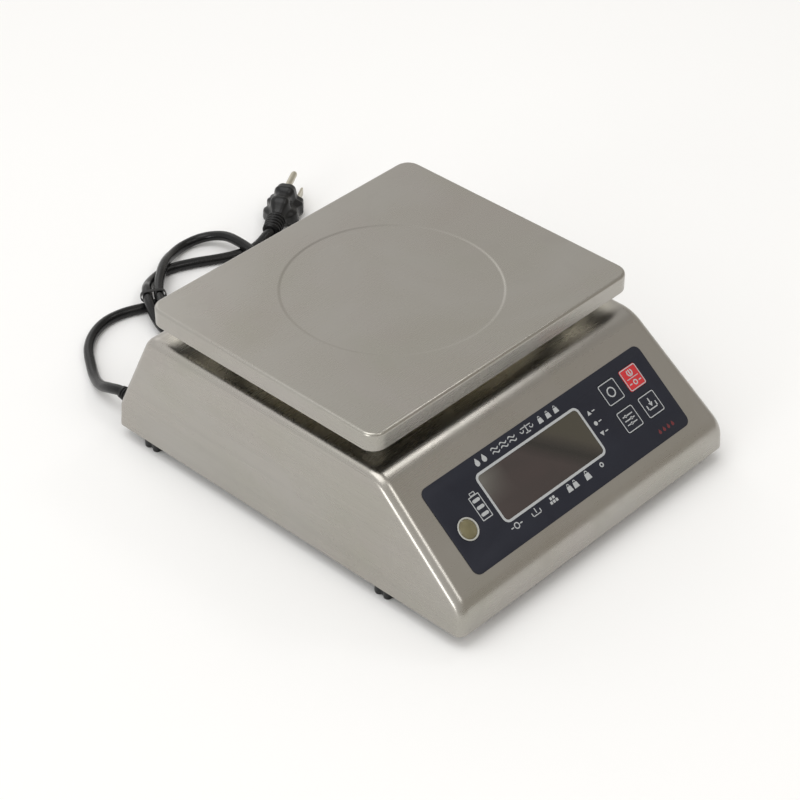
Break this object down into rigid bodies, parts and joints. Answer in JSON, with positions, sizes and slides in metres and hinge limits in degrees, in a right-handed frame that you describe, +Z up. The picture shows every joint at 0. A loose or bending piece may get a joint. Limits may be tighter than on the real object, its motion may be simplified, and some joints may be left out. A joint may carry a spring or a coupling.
{
  "type": "electronic bench scale",
  "caption": "Stainless bench weighing scale with a sloping keypad panel, lift-off pan on a load cell, levelling feet and a mains lead with plug.",
  "frame": {"origin": "bottom centre of the scale's box without its cord, on the surface it stands on", "axes": "+X to the scale's right, +Y to its rear, +Z up"},
  "size_m": [0.2752, 0.4202, 0.1103],
  "materials": {
    "shell_steel": "fine satin-polished stainless sheet with faint smudges",
    "plate_steel": "plain mill-finish stainless",
    "fastener": "zinc-plated steel",
    "cast_alloy": "milled and cast aluminium alloy",
    "black_rubber": "matt black moulded rubber",
    "knob_plastic": "black moulded plastic",
    "cord_sheath": "black satin PVC sheath",
    "plug_pin": "nickel-plated brass",
    "overlay_film": "dark blue-grey membrane film with light printed lines",
    "key_dark": "dark membrane key with a light printed outline",
    "key_red": "red membrane key with a light printed outline",
    "window_tint": "smoked clear window",
    "display_black": "black display block",
    "circuit_board": "green circuit board",
    "chip_black": "moulded components",
    "level_white": "white moulded cup",
    "level_fluid": "clear capsule with yellow-green fluid",
    "level_air": "air bubble",
    "battery_case": "dark moulded case",
    "core_iron": "varnished steel laminations",
    "coil_copper": "taped copper winding"
  },
  "bodies": {
    "root": {"housing_shell": "shell_steel", "base_plate": "plate_steel", "shell_tabs": "plate_steel", "base_stiffener": "plate_steel", "cell_riser": "plate_steel", "battery_strap": "plate_steel", "base_screws": "fastener", "foot_nuts": "fastener", "cell_base_bolts": "fastener", "stop_screws": "fastener", "panel_standoffs": "fastener", "board_standoffs": "fastener", "key_domes": "fastener", "load_cell": "cast_alloy", "base_gasket": "black_rubber", "strain_relief": "black_rubber", "relief_nut": "knob_plastic", "cord_ties": "knob_plastic", "cord_lead": "cord_sheath", "cord_hank": "cord_sheath", "cord_tail": "cord_sheath", "plug_body": "cord_sheath", "wiring": "cord_sheath", "supply_lead": "cord_sheath", "plug_blades": "plug_pin", "plug_earth_pin": "plug_pin", "panel_overlay": "overlay_film", "display_window": "window_tint", "display_digits": "display_black", "display_board": "circuit_board", "keypad_board": "circuit_board", "main_board": "circuit_board", "main_board_parts": "chip_black", "level_cup": "level_white", "level_vial": "level_fluid", "level_bubble": "level_air", "battery": "battery_case", "transformer_core": "core_iron", "transformer_coil": "coil_copper"},
    "platform": {"cell_top_spacer": "cast_alloy", "cell_top_bolts": "fastener", "platform_spider": "cast_alloy", "pan_posts": "fastener", "drip_caps": "black_rubber", "post_pads": "black_rubber"},
    "pan": {"pan": "shell_steel", "pan_sockets": "plate_steel"},
    "key_on_zero": {"key_on_zero": "key_red"},
    "key_off": {"key_off": "key_dark"},
    "key_set": {"key_set": "key_dark"},
    "key_tare": {"key_tare": "key_dark"},
    "foot_fl": {"foot_knob_fl": "knob_plastic", "foot_stud_fl": "fastener"},
    "foot_fr": {"foot_knob_fr": "knob_plastic", "foot_stud_fr": "fastener"},
    "foot_rl": {"foot_knob_rl": "knob_plastic", "foot_stud_rl": "fastener"},
    "foot_rr": {"foot_knob_rr": "knob_plastic", "foot_stud_rr": "fastener"}
  },
  "joints": [
    {"name": "weigh_travel", "type": "slide", "parent": "root", "child": "platform", "axis": [0, 0, 1], "range_m": [-0.0006, 0], "stiffness_N_per_m": 250000, "springref_m": 0.0002, "deforming": ["load_cell"]},
    {"name": "pan_lift_off", "type": "slide", "parent": "platform", "child": "pan", "axis": [0, 0, 1], "range_m": [0, 0.06]},
    {"name": "press_on_zero", "type": "slide", "parent": "root", "child": "key_on_zero", "axis": [0, 0.624, -0.7814], "range_m": [0, 0.0004], "stiffness_N_per_m": 6000, "springref_m": -0.0001},
    {"name": "press_off", "type": "slide", "parent": "root", "child": "key_off", "axis": [0, 0.624, -0.7814], "range_m": [0, 0.0004], "stiffness_N_per_m": 6000, "springref_m": -0.0001},
    {"name": "press_set", "type": "slide", "parent": "root", "child": "key_set", "axis": [0, 0.624, -0.7814], "range_m": [0, 0.0004], "stiffness_N_per_m": 6000, "springref_m": -0.0001},
    {"name": "press_tare", "type": "slide", "parent": "root", "child": "key_tare", "axis": [0, 0.624, -0.7814], "range_m": [0, 0.0004], "stiffness_N_per_m": 6000, "springref_m": -0.0001},
    {"name": "foot_fl_turn", "type": "hinge", "parent": "root", "child": "foot_fl", "pos_m": [-0.108, -0.081, 0], "axis": [0, 0, 1], "continuous": true},
    {"name": "foot_fr_turn", "type": "hinge", "parent": "root", "child": "foot_fr", "pos_m": [0.108, -0.081, 0], "axis": [0, 0, 1], "continuous": true},
    {"name": "foot_rl_turn", "type": "hinge", "parent": "root", "child": "foot_rl", "pos_m": [-0.108, 0.12, 0], "axis": [0, 0, 1], "continuous": true},
    {"name": "foot_rr_turn", "type": "hinge", "parent": "root", "child": "foot_rr", "pos_m": [0.108, 0.12, 0], "axis": [0, 0, 1], "continuous": true}
  ]
}
